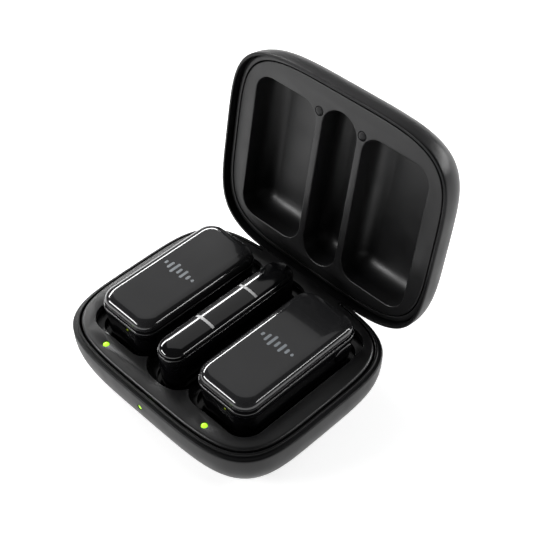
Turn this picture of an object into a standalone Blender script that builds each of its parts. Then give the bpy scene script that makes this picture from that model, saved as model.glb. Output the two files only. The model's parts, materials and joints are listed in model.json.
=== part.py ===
"""Charging case with a hinged lid, two wireless microphone transmitters and one receiver bar.

World frame: +Z up, origin at the centre of the case's flat underside, front of the case towards -Y.
The lid is modelled in its closed place and turned about the hinge axis to its open stop.
Lengths below are millimetres; MM turns them into Blender's metres.
"""

import math

import bmesh
import bpy
from mathutils import Matrix, Vector

MM = 0.001
GAP = 0.3

# Case
CASE_HALF = (38.5, 31.2)
CASE_POWER = 4.4
RING_POINTS = 48
BASE_FILLET = 15.0
BASE_POWER = 2.6
BASE_WALL = 1.6
RIM_Z = 16.0
LIP_INSET = 1.1
LIP_WIDTH = 0.6
LIP_Z = 16.9
DECK_Z = 17.5
DECK_UNDERSIDE = 15.6
DECK_HALF = (36.3, 29.0)
BAY_Y = 0.9
SCREW_X = 32.8
SCREW_Y = (BAY_Y - 12.0, BAY_Y + 12.0)
PORT_Z = 4.7
DECK_LIGHT = (19.35, -25.7)
FRONT_LIGHT_Z = 12.2
MAGNET_X = 7.4
MAGNET_Y = -24.3

# Lid, in its closed place
HINGE_Y = 30.4
HINGE_Z = 14.2
LID_OPEN_ANGLE = 100.1
LID_RIM_Z = 16.3
LID_TOP_Z = 30.2
LID_FILLET = 17.0
LID_POWER = 2.5
LID_INNER_START = 18.8
LID_INNER_TOP = 29.2
LID_RIM_WALL = 0.8
LINER_Z = 18.3
LINER_HALF = (35.85, 28.55)
KNUCKLE_RADIUS = 1.6
KNUCKLE_HALF = 14.8
NOTCH_HALF = 15.2
PIN_RADIUS = 0.6
BUMPER_X = 7.6
BUMPER_Y = -20.7

# Transmitters
TX_X = 18.87
TX_SEAM_HALF = (9.69, 21.0)
TX_BODY_HALF = (10.15, 21.45)
TX_SEAM_Z = 23.2
TX_TOP_Z = 26.3
TX_BODY_BOTTOM = 11.8
TX_CORNER = 4.6
CLIP_BOTTOM = 8.2
CLIP_THICKNESS = 1.0
CLIP_AXIS_Y = BAY_Y + 16.0
CLIP_AXIS_Z = 10.5
BUTTON_Y = BAY_Y + 15.0
BUTTON_Z = 18.5
STATUS_X = 2.7
STATUS_Z = 21.4

# Receiver
RX_HALF = (4.54, 23.2)
RX_SEAM_HALF = (4.24, 22.9)
RX_BOTTOM = 12.5
RX_SEAM_Z = 25.0
RX_BAR_Y = 7.85
PLUG_HALF = (1.28, 4.17)
PLUG_TIP = 5.9


# ---------------------------------------------------------------- scene and collections

for old in list(bpy.data.objects):
    bpy.data.objects.remove(old, do_unlink=True)

PARTS = bpy.data.collections.new("wireless_microphone_charging_case")
TOOLS = bpy.data.collections.new("cutters")
bpy.context.scene.collection.children.link(PARTS)
bpy.context.scene.collection.children.link(TOOLS)


def material(name, colour, roughness, metallic=0.0):
    made = bpy.data.materials.new(name)
    made.use_nodes = True
    shader = made.node_tree.nodes["Principled BSDF"]
    shader.inputs["Base Color"].default_value = (*colour, 1.0)
    shader.inputs["Roughness"].default_value = roughness
    shader.inputs["Metallic"].default_value = metallic
    return made


SOFT_BLACK = material("soft_touch_black", (0.012, 0.012, 0.013), 0.55)
DECK_GREY = material("deck_dark_grey", (0.03, 0.03, 0.032), 0.5)
LINER_GREY = material("liner_dark_grey", (0.02, 0.02, 0.022), 0.5)
GLOSS_BLACK = material("gloss_black", (0.006, 0.006, 0.007), 0.12)
CAP_GREY = material("gloss_dark_grey", (0.045, 0.045, 0.047), 0.2)
LIGHT_LIME = material("lime_light", (0.5, 0.9, 0.05), 0.3)
LIGHT_GREY = material("pale_light_bar", (0.6, 0.6, 0.6), 0.35)
STEEL = material("steel", (0.55, 0.55, 0.57), 0.3, 1.0)
GOLD = material("gold_contacts", (0.83, 0.6, 0.25), 0.3, 1.0)
MAGNET = material("nickel_magnet", (0.6, 0.6, 0.58), 0.25, 1.0)
BOARD = material("circuit_board_green", (0.02, 0.14, 0.06), 0.45)
CELL = material("battery_wrap", (0.3, 0.32, 0.36), 0.4)


# ---------------------------------------------------------------- outlines


def squircle(half_x, half_y, centre=(0.0, 0.0), power=CASE_POWER, count=RING_POINTS):
    """Superellipse outline, anticlockwise."""
    points = []
    for step in range(count):
        angle = 2 * math.pi * (step + 0.5) / count
        across, along = math.cos(angle), math.sin(angle)
        x = math.copysign(abs(across) ** (2 / power), across) * half_x
        y = math.copysign(abs(along) ** (2 / power), along) * half_y
        points.append((centre[0] + x, centre[1] + y))
    return points


def rounded(half_x, half_y, radius, centre=(0.0, 0.0), steps=4):
    """Rectangle with round corners, anticlockwise; a radius of half_x gives a stadium."""
    radius = min(radius, half_x - 0.01, half_y - 0.01)
    points = []
    for corner, (side_x, side_y) in enumerate(((1, 1), (-1, 1), (-1, -1), (1, -1))):
        middle_x = centre[0] + side_x * (half_x - radius)
        middle_y = centre[1] + side_y * (half_y - radius)
        for step in range(steps + 1):
            angle = math.radians(90 * corner + 90 * step / steps)
            points.append((middle_x + radius * math.cos(angle), middle_y + radius * math.sin(angle)))
    return points


# ---------------------------------------------------------------- making objects


def finish(name, mesh_data, finish_material, collection):
    """Turn a bmesh into an object whose outward faces are smooth below 35 degrees."""
    bmesh.ops.recalc_face_normals(mesh_data, faces=mesh_data.faces)
    mesh = bpy.data.meshes.new(name)
    mesh_data.to_mesh(mesh)
    mesh_data.free()
    mesh.shade_smooth()
    mesh.set_sharp_from_angle(angle=math.radians(35))
    if finish_material:
        mesh.materials.append(finish_material)
    made = bpy.data.objects.new(name, mesh)
    collection.objects.link(made)
    if collection is TOOLS:
        made.hide_render = True
        made.display_type = "WIRE"
    return made


def stack(name, rings, finish_material=None, collection=PARTS):
    """Closed body through a list of (outline, z) rings with equal numbers of points."""
    mesh_data = bmesh.new()
    loops = []
    for outline, height in rings:
        loops.append([mesh_data.verts.new((x * MM, y * MM, height * MM)) for x, y in outline])
    for lower, upper in zip(loops, loops[1:]):
        for index in range(len(lower)):
            after = (index + 1) % len(lower)
            mesh_data.faces.new((lower[index], lower[after], upper[after], upper[index]))
    mesh_data.faces.new(reversed(loops[0]))
    mesh_data.faces.new(loops[-1])
    return finish(name, mesh_data, finish_material, collection)


def box(name, low, high, finish_material=None, collection=PARTS, bevel=0.0):
    size = [b - a for a, b in zip(low, high)]
    middle = [(a + b) / 2 for a, b in zip(low, high)]
    place = Matrix.Translation(Vector(middle) * MM) @ Matrix.Diagonal((*[s * MM for s in size], 1.0))
    mesh_data = bmesh.new()
    bmesh.ops.create_cube(mesh_data, size=1.0, matrix=place)
    if bevel:
        bmesh.ops.bevel(
            mesh_data, geom=list(mesh_data.edges), offset=bevel * MM, segments=2, profile=0.5, affect="EDGES"
        )
    return finish(name, mesh_data, finish_material, collection)


def rod(name, radius, start, end, finish_material=None, collection=PARTS, sides=20):
    """Cylinder from start to end."""
    start, end = Vector(start) * MM, Vector(end) * MM
    turn = (end - start).to_track_quat("Z", "Y").to_matrix().to_4x4()
    place = Matrix.Translation((start + end) / 2) @ turn
    mesh_data = bmesh.new()
    bmesh.ops.create_cone(
        mesh_data,
        cap_ends=True,
        segments=sides,
        radius1=radius * MM,
        radius2=radius * MM,
        depth=(end - start).length,
        matrix=place,
    )
    return finish(name, mesh_data, finish_material, collection)


def combine(target, tool, operation):
    step = target.modifiers.new(operation.lower() + "_" + tool.name, "BOOLEAN")
    step.operation = operation
    step.object = tool
    step.solver = "EXACT"
    return tool


def cut(target, tool):
    return combine(target, tool, "DIFFERENCE")


def join(target, tool):
    return combine(target, tool, "UNION")


def pivot(name, place):
    """Empty on a joint's axis or in a seat; what hangs on it keeps its own coordinates."""
    made = bpy.data.objects.new(name, None)
    made.empty_display_size = 0.004
    made.location = Vector(place) * MM
    PARTS.objects.link(made)
    return made


def hang(piece, parent):
    """Parent a piece that was modelled in the case's closed frame, without moving it."""
    piece.location = piece.location - parent.location
    piece.parent = parent


# ---------------------------------------------------------------- openings shared by deck and tray


def bay_openings(low, high, tag):
    """Three overlapping openings: one for each transmitter and one for the receiver."""
    tools = []
    for side, label in ((-1, "left"), (1, "right")):
        outline = rounded(12.25, 24.0, 6.3, (side * 18.85, BAY_Y), 6)
        tools.append(stack(f"{tag}_{label}", [(outline, low), (outline, high)], None, TOOLS))
    outline = rounded(8.5, 25.6, 7.0, (0.0, BAY_Y), 6)
    tools.append(stack(f"{tag}_middle", [(outline, low), (outline, high)], None, TOOLS))
    return tools


def case_ring(inset, height):
    return squircle(CASE_HALF[0] - inset, CASE_HALF[1] - inset), height


# ---------------------------------------------------------------- base


def base_curve(angle):
    """How far across and up the base's lower round is at an angle, as shares of its radius."""
    turn = math.radians(angle)
    return math.cos(turn) ** (2 / BASE_POWER), math.sin(turn) ** (2 / BASE_POWER)


def make_base_shell():
    rings = []
    for angle in (90, 72, 54, 36, 20, 8):
        across, up = base_curve(angle)
        rings.append(case_ring(BASE_FILLET * (1 - across), BASE_FILLET * (1 - up)))
    rings.append(case_ring(0.0, RIM_Z - 0.45))
    rings.append(case_ring(0.13, RIM_Z - 0.13))
    rings.append(case_ring(0.45, RIM_Z))
    rings.append(case_ring(LIP_INSET, RIM_Z))
    rings.append(case_ring(LIP_INSET, LIP_Z - 0.15))
    rings.append(case_ring(LIP_INSET + 0.15, LIP_Z))
    rings.append(case_ring(LIP_INSET + LIP_WIDTH - 0.15, LIP_Z))
    rings.append(case_ring(LIP_INSET + LIP_WIDTH, LIP_Z - 0.15))
    inner_radius = BASE_FILLET - BASE_WALL
    for angle in (5, 22, 40, 56, 72, 90):
        across, up = base_curve(angle)
        rings.append(case_ring(BASE_FILLET - inner_radius * across, BASE_FILLET - inner_radius * up))
    shell = stack("base_shell", rings, SOFT_BLACK)
    for side in (-1, 1):
        for y in SCREW_Y:
            x = side * SCREW_X
            join(shell, rod(f"post_{side}_{y}", 1.6, (x, y, 4.0), (x, y, 12.5), None, TOOLS, 12))
            cut(shell, rod(f"post_hole_{side}_{y}", 1.0, (x, y, 8.0), (x, y, 13.0), None, TOOLS, 8))
        ear = rod(
            f"ear_{side}",
            KNUCKLE_RADIUS,
            (side * NOTCH_HALF, HINGE_Y, HINGE_Z),
            (side * (NOTCH_HALF + 3.2), HINGE_Y, HINGE_Z),
            None,
            TOOLS,
        )
        join(shell, ear)
    cut(shell, box("hinge_notch", (-NOTCH_HALF, 28.4, 12.2), (NOTCH_HALF, 33.0, 18.0), None, TOOLS))
    ends = (-17.6, HINGE_Y, HINGE_Z), (17.6, HINGE_Y, HINGE_Z)
    cut(shell, rod("pin_hole", PIN_RADIUS + GAP, *ends, None, TOOLS, 16))
    port_outline = rounded(4.8, 1.9, 1.8, (0.0, 0.0), 4)
    port = stack("port_cut", [(port_outline, 0.0), (port_outline, 8.0)], None, TOOLS)
    port.rotation_euler.x = math.radians(90)
    port.location = Vector((0.0, 29.0, PORT_Z)) * MM
    cut(shell, port)
    ends = (0.0, -33.0, FRONT_LIGHT_Z), (0.0, -27.0, FRONT_LIGHT_Z)
    light_hole = rod("front_light_hole", 0.9, *ends, None, TOOLS, 16)
    cut(shell, light_hole)
    return shell


def make_deck():
    rings = []
    for inset, height in ((0.3, DECK_UNDERSIDE), (0.0, 15.9), (0.0, 17.0), (0.15, 17.35), (0.5, DECK_Z)):
        rings.append((squircle(DECK_HALF[0] - inset, DECK_HALF[1] - inset), height))
    deck = stack("deck_frame", rings, DECK_GREY)
    join(deck, box("deck_tab", (-14.9, 26.0, 16.2), (14.9, 29.7, DECK_Z - 0.02), None, TOOLS))
    for tool in bay_openings(15.0, 18.5, "deck_opening"):
        cut(deck, tool)
    for side in (-1, 1):
        x, y = side * DECK_LIGHT[0], DECK_LIGHT[1]
        cut(deck, rod(f"deck_light_hole_{side}", 1.15, (x, y, 15.0), (x, y, 18.5), None, TOOLS, 16))
    return deck


def make_tray():
    plate = squircle(34.5, 27.3)
    tray = stack("well_tray", [(plate, 12.8), (plate, 15.3)], GLOSS_BLACK)
    for side, label in ((-1, "left"), (1, "right")):
        x = side * TX_X
        outer = rounded(11.75, 23.1, 6.0, (x, BAY_Y))
        join(tray, stack(f"cup_{label}", [(outer, 9.8), (outer, 13.4)], None, TOOLS))
        outer = rounded(9.5, 18.45, 4.2, (x, BAY_Y + 2.3))
        join(tray, stack(f"clip_cup_{label}", [(outer, 4.5), (outer, 10.2)], None, TOOLS))
    outer = rounded(6.5, 24.9, 6.5, (0.0, BAY_Y))
    join(tray, stack("cup_middle", [(outer, 11.0), (outer, 13.4)], None, TOOLS))
    for tool in bay_openings(14.0, 16.0, "tray_opening"):
        cut(tray, tool)
    for side, label in ((-1, "left"), (1, "right")):
        x = side * TX_X
        inner = rounded(10.65, 22.0, 5.2, (x, BAY_Y))
        cut(tray, stack(f"well_{label}", [(inner, 10.9), (inner, 15.0)], None, TOOLS))
        inner = rounded(8.6, 17.5, 3.4, (x, BAY_Y + 2.3))
        cut(tray, stack(f"clip_well_{label}", [(inner, 5.5), (inner, 12.0)], None, TOOLS))
        low, high = (x - 3.8, BAY_Y - 19.8, 9.0), (x + 3.8, BAY_Y - 16.2, 12.0)
        cut(tray, box(f"contact_hole_{label}", low, high, None, TOOLS))
        for y in SCREW_Y:
            place = side * SCREW_X
            for kind, radius, low in (("hole", 1.0, 12.0), ("seat", 1.55, 14.3)):
                tool_name = f"screw_{kind}_{side}_{y}"
                cut(tray, rod(tool_name, radius, (place, y, low), (place, y, 16.0), None, TOOLS, 16))
        place = side * MAGNET_X
        ends = (place, MAGNET_Y, 13.6), (place, MAGNET_Y, 16.0)
        cut(tray, rod(f"magnet_seat_{side}", 1.4, *ends, None, TOOLS, 16))
    inner = rounded(5.5, 23.9, 5.5, (0.0, BAY_Y))
    cut(tray, stack("well_middle", [(inner, 12.2), (inner, 15.0)], None, TOOLS))
    cut(tray, box("socket_hole", (-2.5, BAY_Y - 5.5, 10.0), (2.5, BAY_Y + 5.5, 13.0), None, TOOLS))
    return tray


def make_base_fittings():
    for side, label in ((-1, "left"), (1, "right")):
        x, y = side * DECK_LIGHT[0], DECK_LIGHT[1]
        rod(f"deck_light_{label}", 0.85, (x, y, 15.9), (x, y, DECK_Z - 0.03), LIGHT_LIME, PARTS, 16)
        x = side * MAGNET_X
        rod(f"base_magnet_{label}", 1.1, (x, MAGNET_Y, 13.9), (x, MAGNET_Y, 15.2), MAGNET, PARTS, 20)
        x = side * TX_X
        low, high = (x - 3.5, BAY_Y - 19.5, 8.0), (x + 3.5, BAY_Y - 16.5, 11.1)
        box(f"charge_contacts_{label}", low, high, GOLD, PARTS, 0.25)
        for y, place in zip(SCREW_Y, ("front", "back")):
            x = side * SCREW_X
            shank = rod(f"tray_screw_{place}_{label}", 0.7, (x, y, 8.6), (x, y, 14.7), STEEL, PARTS, 12)
            head = rod(f"screw_head_{place}_{label}", 1.25, (x, y, 14.4), (x, y, 15.2), None, TOOLS, 16)
            join(shank, head)
    rod("front_light", 0.6, (0.0, -30.75, FRONT_LIGHT_Z), (0.0, -28.0, FRONT_LIGHT_Z), LIGHT_LIME, PARTS, 16)
    rod("hinge_pin", PIN_RADIUS, (-17.3, HINGE_Y, HINGE_Z), (17.3, HINGE_Y, HINGE_Z), STEEL, PARTS, 16)
    box("case_board", (-14.0, -5.0, 2.0), (14.0, 17.0, 2.8), BOARD, PARTS)
    box("case_battery", (-6.2, -19.0, 2.2), (6.2, -6.0, 9.8), CELL, PARTS, 0.6)
    make_port()
    make_receiver_socket()


def make_port():
    """USB-C receptacle that lies along Y with its mouth at the back of the case."""
    outer = rounded(4.47, 1.6, 1.5, (0.0, 0.0), 4)
    inner = rounded(4.17, 1.3, 1.25, (0.0, 0.0), 4)
    rings = [(outer, 0.0), (outer, 8.4), (inner, 8.4), (inner, 1.2)]
    port = stack("case_usb_port", rings, STEEL)
    join(port, box("port_tongue", (-3.1, -0.35, 0.6), (3.1, 0.35, 7.2), None, TOOLS))
    for piece in (port, bpy.data.objects["port_tongue"]):
        piece.rotation_euler.x = math.radians(-90)
        piece.location = Vector((0.0, 17.4, PORT_Z)) * MM


def make_receiver_socket():
    outer = rounded(2.2, 5.2, 1.0, (0.0, BAY_Y), 4)
    inner = rounded(PLUG_HALF[0] + GAP, PLUG_HALF[1] + GAP, 1.55, (0.0, BAY_Y), 4)
    socket = stack("receiver_socket", [(outer, 3.1), (outer, 11.9), (inner, 11.9), (inner, 5.4)], GLOSS_BLACK)
    join(socket, box("socket_tongue", (-0.35, BAY_Y - 3.1, 5.0), (0.35, BAY_Y + 3.1, 11.3), None, TOOLS))


# ---------------------------------------------------------------- lid, modelled closed


def dome_inset(height, start, top, reach):
    """Horizontal inset of the lid's dome at a height: a superelliptic quarter."""
    rise = min(max((height - start) / (top - start), 0.0), 1.0)
    return reach * (1 - (1 - rise**LID_POWER) ** (1 / LID_POWER))


def make_lid_shell(axis):
    rings = [case_ring(10.0 + LID_FILLET, LID_TOP_Z + 0.3), case_ring(5.0 + LID_FILLET, LID_TOP_Z + 0.2)]
    for share in (1.0, 0.985, 0.93, 0.82, 0.66, 0.48, 0.28, 0.1):
        height = 17.2 + (LID_TOP_Z - 17.2) * share
        rings.append(case_ring(dome_inset(height, 17.2, LID_TOP_Z, LID_FILLET), height))
    rings.append(case_ring(0.0, LID_RIM_Z + 0.45))
    rings.append(case_ring(0.1, LID_RIM_Z + 0.12))
    rings.append(case_ring(0.35, LID_RIM_Z))
    rings.append(case_ring(LID_RIM_WALL, LID_RIM_Z))
    rings.append(case_ring(LID_RIM_WALL, 19.0))
    rings.append(case_ring(1.7, 19.6))
    for share in (0.3, 0.55, 0.75, 0.88, 0.95, 0.985, 1.0):
        height = LID_INNER_START + (LID_INNER_TOP - LID_INNER_START) * share
        inset = dome_inset(height, LID_INNER_START, LID_INNER_TOP, 12.0)
        rings.append(case_ring(1.7 + inset, height))
    shell = stack("lid_shell", rings, SOFT_BLACK)
    hang(shell, axis)
    knuckle = rod(
        "lid_knuckle",
        KNUCKLE_RADIUS,
        (-KNUCKLE_HALF, HINGE_Y, HINGE_Z),
        (KNUCKLE_HALF, HINGE_Y, HINGE_Z),
        None,
        TOOLS,
    )
    arm = box(
        "lid_arm",
        (-KNUCKLE_HALF, HINGE_Y - 0.35, HINGE_Z),
        (KNUCKLE_HALF, HINGE_Y + 0.55, 17.4),
        None,
        TOOLS,
    )
    bore = rod(
        "lid_bore",
        PIN_RADIUS + GAP,
        (-KNUCKLE_HALF - 1, HINGE_Y, HINGE_Z),
        (KNUCKLE_HALF + 1, HINGE_Y, HINGE_Z),
        None,
        TOOLS,
        16,
    )
    for tool in (knuckle, arm, bore):
        hang(tool, axis)
    join(shell, arm)
    join(shell, knuckle)
    cut(shell, bore)


def pocket(half_x, half_y, radius, centre, wall, floor, start, name):
    """Pocket or cup body: straight walls and a large round where they meet the floor."""
    fillet = floor - start
    rings = [(rounded(half_x + wall, half_y + wall, radius + wall, centre), LINER_Z + 0.5 if wall else 17.0)]
    steps = 4
    for step in range(steps + 1):
        angle = math.radians(90 * step / steps)
        inset = fillet * (1 - math.cos(angle)) * (fillet + wall) / fillet
        height = start + (fillet + wall) * math.sin(angle)
        corner = max(radius + wall - inset, 0.9)
        outline = rounded(half_x + wall - inset, half_y + wall - inset, corner, centre)
        rings.append((outline, height))
    return stack(name, rings, None, TOOLS)


def make_liner(axis):
    rings = []
    for inset, height in ((0.25, LINER_Z), (0.0, LINER_Z + 0.25), (0.0, LINER_Z + 1.0)):
        rings.append((squircle(LINER_HALF[0] - inset, LINER_HALF[1] - inset), height))
    liner = stack("lid_liner", rings, LINER_GREY)
    hang(liner, axis)
    shapes = (
        ("left", 11.24, 22.8, 5.5, (-19.42, BAY_Y), 27.8, 22.6),
        ("right", 11.24, 22.8, 5.5, (19.42, BAY_Y), 27.8, 22.6),
        ("middle", 6.09, 24.7, 6.0, (0.0, BAY_Y), 28.0, 24.0),
    )
    for label, half_x, half_y, radius, centre, floor, start in shapes:
        cup = pocket(half_x, half_y, radius, centre, 0.7, floor, start, f"liner_cup_{label}")
        hang(cup, axis)
        join(liner, cup)
    for label, half_x, half_y, radius, centre, floor, start in shapes:
        hollow = pocket(half_x, half_y, radius, centre, 0.0, floor, start, f"liner_pocket_{label}")
        hang(hollow, axis)
        cut(liner, hollow)
    for side in (-1, 1):
        x = side * BUMPER_X
        seat = rod(f"bumper_seat_{side}", 1.5, (x, BUMPER_Y, 17.5), (x, BUMPER_Y, 20.0), None, TOOLS, 16)
        hang(seat, axis)
        cut(liner, seat)


def make_lid_fittings(axis):
    outer = (CASE_HALF[0] - 1.15, CASE_HALF[1] - 1.15)
    inner = (LINER_HALF[0] + GAP, LINER_HALF[1] + GAP)
    rings = [
        (squircle(outer[0], outer[1]), LINER_Z + 0.9),
        (squircle(outer[0], outer[1]), LINER_Z + 0.2),
        (squircle(outer[0] - 0.2, outer[1] - 0.2), LINER_Z),
        (squircle(inner[0] + 0.2, inner[1] + 0.2), LINER_Z),
        (squircle(inner[0], inner[1]), LINER_Z + 0.2),
        (squircle(inner[0], inner[1]), LINER_Z + 0.9),
    ]
    hang(ring_body("lid_frame", rings, LINER_GREY), axis)
    for side, label in ((-1, "left"), (1, "right")):
        x = side * BUMPER_X
        ends = (x, BUMPER_Y, 18.2), (x, BUMPER_Y, 19.2)
        hang(rod(f"lid_bumper_{label}", 1.2, *ends, SOFT_BLACK, PARTS, 20), axis)
        x = side * MAGNET_X
        ends = (x, MAGNET_Y, 19.7), (x, MAGNET_Y, 21.0)
        hang(rod(f"lid_magnet_{label}", 1.1, *ends, MAGNET, PARTS, 20), axis)


def ring_body(name, rings, finish_material):
    """Closed band: the last ring joins the first."""
    mesh_data = bmesh.new()
    loops = []
    for outline, height in rings:
        loops.append([mesh_data.verts.new((x * MM, y * MM, height * MM)) for x, y in outline])
    for lower, upper in zip(loops, loops[1:] + loops[:1]):
        for index in range(len(lower)):
            after = (index + 1) % len(lower)
            mesh_data.faces.new((lower[index], lower[after], upper[after], upper[index]))
    return finish(name, mesh_data, finish_material, PARTS)


# ---------------------------------------------------------------- transmitters


def make_transmitter(side, label):
    x = side * TX_X
    name = f"transmitter_{label}"
    seat = pivot(f"{name}_seat", (x, BAY_Y, TX_BODY_BOTTOM))
    body = make_transmitter_body(name, x)
    pieces = [body, make_transmitter_cap(name, x)]
    pieces += make_transmitter_inside(name, x)
    pieces += make_clip(name, x)
    for tool in [step.object for piece in pieces for step in piece.modifiers]:
        hang(tool, seat)
    for piece in pieces:
        hang(piece, seat)


def make_transmitter_cap(name, x):
    def ring(inset, height):
        half_x, half_y = TX_SEAM_HALF[0] - inset, TX_SEAM_HALF[1] - inset
        return rounded(half_x, half_y, max(TX_CORNER - 0.6 * inset, 1.5), (x, BAY_Y)), height

    low = TX_SEAM_Z + 0.15
    rings = [ring(2.4, 25.1), ring(1.6, 24.7), ring(1.1, low), ring(0.12, low), ring(0.0, low + 0.15)]
    rings += [ring(0.1, 24.2), ring(0.45, 25.0), ring(1.1, 25.7), ring(2.0, 26.15), ring(3.0, TX_TOP_Z)]
    return stack(f"{name}_cap", rings, CAP_GREY)


def make_transmitter_body(name, x):
    def ring(inset, height):
        half_x, half_y = TX_BODY_HALF[0] - inset, TX_BODY_HALF[1] - inset
        return rounded(half_x, half_y, max(TX_CORNER + 0.4 - 0.5 * inset, 1.5), (x, BAY_Y)), height

    high = TX_SEAM_Z - 0.15
    rings = [ring(2.6, TX_BODY_BOTTOM), ring(1.3, 12.3), ring(0.75, 13.6), ring(0.3, 20.6), ring(0.0, 21.3)]
    rings += [ring(0.0, high - 0.25), ring(0.25, high), ring(1.5, high), ring(1.7, 20.0), ring(2.3, 13.1)]
    body = stack(f"{name}_body", rings, GLOSS_BLACK)
    for ear_side in (-1, 1):
        start, end = x + ear_side * 4.9, x + ear_side * 6.4
        low, high_x = min(start, end), max(start, end)
        ends = (low, CLIP_AXIS_Y, CLIP_AXIS_Z), (high_x, CLIP_AXIS_Y, CLIP_AXIS_Z)
        join(body, rod(f"{name}_ear_{ear_side}", 1.0, *ends, None, TOOLS, 12))
        corners = (low, CLIP_AXIS_Y - 0.8, CLIP_AXIS_Z), (high_x, CLIP_AXIS_Y + 0.8, 12.5)
        join(body, box(f"{name}_leg_{ear_side}", *corners, None, TOOLS))
    ends = (x - 6.1, CLIP_AXIS_Y, CLIP_AXIS_Z), (x + 6.1, CLIP_AXIS_Y, CLIP_AXIS_Z)
    cut(body, rod(f"{name}_clip_bore", 0.6, *ends, None, TOOLS, 12))
    cut(body, oval(f"{name}_button_hole", 3.6, 2.6, x + 7.0, x + 12.0, None, TOOLS))
    light = (x + STATUS_X, BAY_Y - 24.0, STATUS_Z), (x + STATUS_X, BAY_Y - 18.0, STATUS_Z)
    cut(body, rod(f"{name}_light_hole", 0.65, *light, None, TOOLS, 12))
    low, high = (x - 3.3, BAY_Y - 19.4, 11.0), (x + 3.3, BAY_Y - 16.6, 14.0)
    cut(body, box(f"{name}_pad_hole", low, high, None, TOOLS))
    return body


def oval(name, half_y, half_z, low_x, high_x, finish_material, collection):
    """Oval plug along X, centred on the side button's place."""
    outline = [(-z, y) for y, z in rounded(half_y, half_z, half_z, (0.0, 0.0), 5)]
    made = stack(name, [(outline, low_x), (outline, high_x)], finish_material, collection)
    turn = Matrix.Rotation(math.radians(90), 4, "Y")
    made.data.transform(Matrix.Translation(Vector((0.0, BUTTON_Y, BUTTON_Z)) * MM) @ turn)
    return made


def make_transmitter_inside(name, x):
    button = oval(f"{name}_button", 3.25, 2.25, x + 8.3, x + 10.0, GLOSS_BLACK, PARTS)
    light_y = BAY_Y - TX_BODY_HALF[1]
    light = rod(
        f"{name}_status_light",
        0.38,
        (x + STATUS_X, light_y + 0.05, STATUS_Z),
        (x + STATUS_X, light_y + 2.2, STATUS_Z),
        LIGHT_LIME,
        PARTS,
        12,
    )
    low, high = (x - 7.0, BAY_Y - 17.0, 18.6), (x + 7.0, BAY_Y + 17.0, 19.4)
    board = box(f"{name}_board", low, high, BOARD, PARTS)
    low, high = (x - 6.0, BAY_Y - 11.0, 13.6), (x + 6.0, BAY_Y + 13.0, 18.2)
    battery = box(f"{name}_battery", low, high, CELL, PARTS, 0.6)
    ends = (x, BAY_Y - 13.5, 19.8), (x, BAY_Y - 13.5, 22.0)
    capsule = rod(f"{name}_mic_capsule", 2.0, *ends, STEEL, PARTS, 20)
    low, high = (x - 3.0, BAY_Y - 19.1, 11.85), (x + 3.0, BAY_Y - 16.9, 13.4)
    pads = box(f"{name}_charge_pads", low, high, GOLD, PARTS, 0.15)
    return [button, light, board, battery, capsule, pads]


def make_clip(name, x):
    middle_y = BAY_Y + 2.2
    plate = rounded(7.0, 15.4, 3.0, (x, middle_y))
    inset = rounded(6.5, 14.9, 2.6, (x, middle_y))
    top = CLIP_BOTTOM + CLIP_THICKNESS
    clip = stack(f"{name}_clip", [(inset, CLIP_BOTTOM), (plate, CLIP_BOTTOM + 0.4), (plate, top)], SOFT_BLACK)
    neck_low, neck_high = (x - 4.5, CLIP_AXIS_Y - 0.6, top - 0.4), (x + 4.5, CLIP_AXIS_Y + 0.6, CLIP_AXIS_Z)
    join(clip, box(f"{name}_clip_neck", neck_low, neck_high, None, TOOLS))
    ends = (x - 4.5, CLIP_AXIS_Y, CLIP_AXIS_Z), (x + 4.5, CLIP_AXIS_Y, CLIP_AXIS_Z)
    join(clip, rod(f"{name}_clip_barrel", 1.0, *ends, None, TOOLS, 16))
    ends = (x - 5.0, CLIP_AXIS_Y, CLIP_AXIS_Z), (x + 5.0, CLIP_AXIS_Y, CLIP_AXIS_Z)
    cut(clip, rod(f"{name}_barrel_bore", 0.6, *ends, None, TOOLS, 12))
    ends = (x - 5.9, CLIP_AXIS_Y, CLIP_AXIS_Z), (x + 5.9, CLIP_AXIS_Y, CLIP_AXIS_Z)
    pin = rod(f"{name}_clip_pin", 0.3, *ends, STEEL, PARTS, 12)
    return [clip, pin, make_clip_spring(name, x)]


def make_clip_spring(name, x):
    """Leaf spring between the body's underside and the clip: a low arch of strip."""
    mesh_data = bmesh.new()
    sections = []
    for step in range(9):
        along = step / 8
        y = BAY_Y + 3.0 + 10.0 * along
        z = 9.6 + 1.5 * math.sin(math.pi * along)
        corners = ((x - 2.5, z), (x + 2.5, z), (x + 2.5, z + 0.3), (x - 2.5, z + 0.3))
        sections.append([mesh_data.verts.new((cx * MM, y * MM, cz * MM)) for cx, cz in corners])
    for first, second in zip(sections, sections[1:]):
        for index in range(4):
            after = (index + 1) % 4
            mesh_data.faces.new((first[index], first[after], second[after], second[index]))
    mesh_data.faces.new(sections[0])
    mesh_data.faces.new(sections[-1])
    return finish(f"{name}_clip_spring", mesh_data, STEEL, PARTS)


# ---------------------------------------------------------------- receiver


def rx_ring(half, inset, height):
    return rounded(half[0] - inset, half[1] - inset, half[0] - inset, (0.0, BAY_Y), 6), height


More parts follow.
